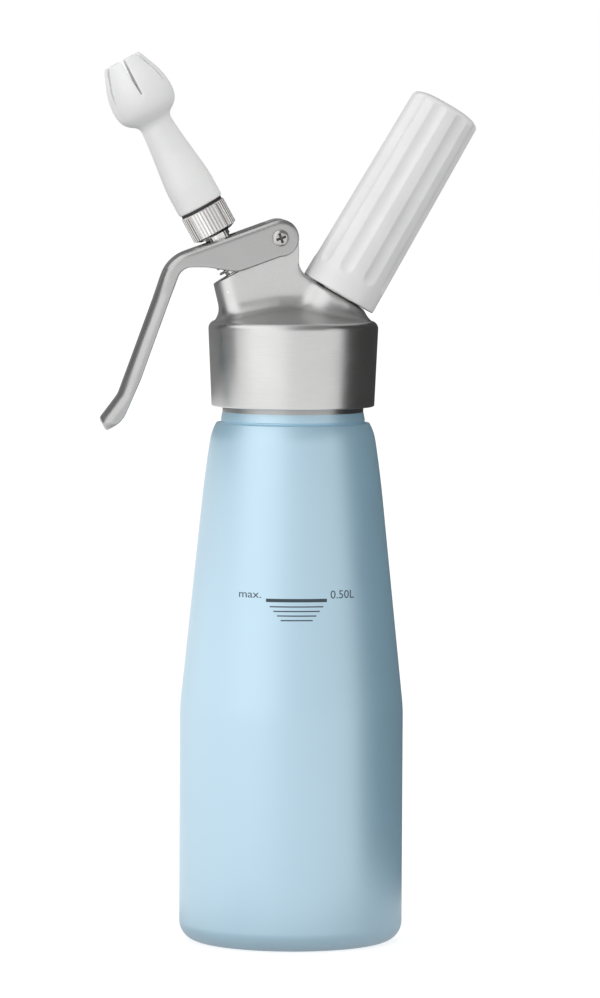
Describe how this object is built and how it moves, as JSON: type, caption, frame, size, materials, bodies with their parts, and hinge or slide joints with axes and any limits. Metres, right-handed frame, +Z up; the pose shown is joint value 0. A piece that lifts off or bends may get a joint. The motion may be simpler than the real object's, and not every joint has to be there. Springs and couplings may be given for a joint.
{
  "type": "whipped cream dispenser",
  "caption": "Lever-operated cream whipper: tapered coated bottle, screw-on cast head, tilted nozzle on a spring valve and a fluted gas charger holder.",
  "frame": {"origin": "middle of the bottle's flat foot", "axes": "+Z up along the bottle, the nozzle and lever lean towards -X, the charger holder towards +X, +Y across them"},
  "size_m": [0.1333, 0.08, 0.3181],
  "materials": {
    "powder_coat": "satin pastel blue powder coat, bare brushed neck",
    "cast_aluminium": "blasted casting, brushed round the skirt",
    "turned_steel": "turned, bright",
    "plated_steel": "plated, polished",
    "spring_steel": "drawn wire",
    "charger_steel": "drawn and tumbled",
    "turned_brass": "turned",
    "white_nozzle": "matte white moulding",
    "white_holder": "semi-gloss white moulding",
    "inner_plastic": "natural moulding",
    "black_rubber": "moulded, matte",
    "grey_silicone": "moulded, matte"
  },
  "bodies": {
    "bottle": {"bottle": "powder_coat"},
    "head_seal": {"head_gasket": "grey_silicone"},
    "head": {"head_body": "cast_aluminium", "pivot_screw": "plated_steel", "pivot_barrel": "plated_steel", "valve_spring": "spring_steel", "stem_bush": "inner_plastic", "inlet_body": "turned_brass", "piercing_pin": "turned_steel", "check_sleeve": "black_rubber", "charger_gasket": "black_rubber"},
    "lever": {"lever": "cast_aluminium"},
    "valve": {"valve_stem": "turned_steel", "stem_rings": "black_rubber", "valve_plug": "turned_steel", "valve_seal": "black_rubber", "spring_collar": "turned_steel"},
    "adapter_seal": {"adapter_washer": "black_rubber"},
    "adapter": {"nozzle_adapter": "turned_steel"},
    "nozzle_seal": {"nozzle_ring": "black_rubber"},
    "nozzle": {"decorator_nozzle": "white_nozzle", "nozzle_insert": "turned_steel"},
    "charger": {"charger": "charger_steel"},
    "holder": {"holder_shell": "white_holder", "holder_insert": "turned_steel", "holder_pad": "inner_plastic"}
  },
  "joints": [
    {"name": "head_rise", "type": "slide", "parent": "bottle", "child": "head_seal", "axis": [0, 0, 1], "range_m": [0, 0.0141]},
    {"name": "head_turn", "type": "hinge", "parent": "head_seal", "child": "head", "pos_m": [0, 0, 0], "axis": [0, 0, 1], "range_deg": [0, 1440]},
    {"name": "lever_squeeze", "type": "hinge", "parent": "head", "child": "lever", "pos_m": [-0.0055, 0, 0.2522], "axis": [0, -1, 0], "range_deg": [0, 12], "stiffness_Nm_per_rad": 0.86, "springref_deg": -17.19},
    {"name": "valve_press", "type": "slide", "parent": "head", "child": "valve", "axis": [0.4848, 0, -0.8746], "range_m": [0, 0.0043], "deforming": ["valve_spring"]},
    {"name": "adapter_rise", "type": "slide", "parent": "valve", "child": "adapter_seal", "axis": [-0.4848, 0, 0.8746], "range_m": [0, 0.00625]},
    {"name": "adapter_turn", "type": "hinge", "parent": "adapter_seal", "child": "adapter", "pos_m": [0, 0, 0.2032], "axis": [-0.4848, 0, 0.8746], "range_deg": [0, 1810]},
    {"name": "nozzle_rise", "type": "slide", "parent": "adapter", "child": "nozzle_seal", "axis": [-0.4848, 0, 0.8746], "range_m": [0, 0.006]},
    {"name": "nozzle_turn", "type": "hinge", "parent": "nozzle_seal", "child": "nozzle", "pos_m": [0, 0, 0.2032], "axis": [-0.4848, 0, 0.8746], "range_deg": [0, 1450]},
    {"name": "charger_rise", "type": "slide", "parent": "head", "child": "charger", "axis": [0.5, 0, 0.866], "range_m": [0, 0.008]},
    {"name": "holder_turn", "type": "hinge", "parent": "charger", "child": "holder", "pos_m": [0, 0, 0.2044], "axis": [0.5, 0, 0.866], "range_deg": [0, 1450]}
  ],
  "couplings": [
    {"joint": "head_rise", "follows": "head_turn", "m_per_rad": 0.00055704},
    {"joint": "valve_press", "follows": "lever_squeeze", "m_per_rad": 0.0197},
    {"joint": "adapter_turn", "follows": "adapter_rise", "rad_per_m": 5026.5},
    {"joint": "nozzle_turn", "follows": "nozzle_rise", "rad_per_m": 4188.8},
    {"joint": "holder_turn", "follows": "charger_rise", "rad_per_m": 3141.6}
  ]
}
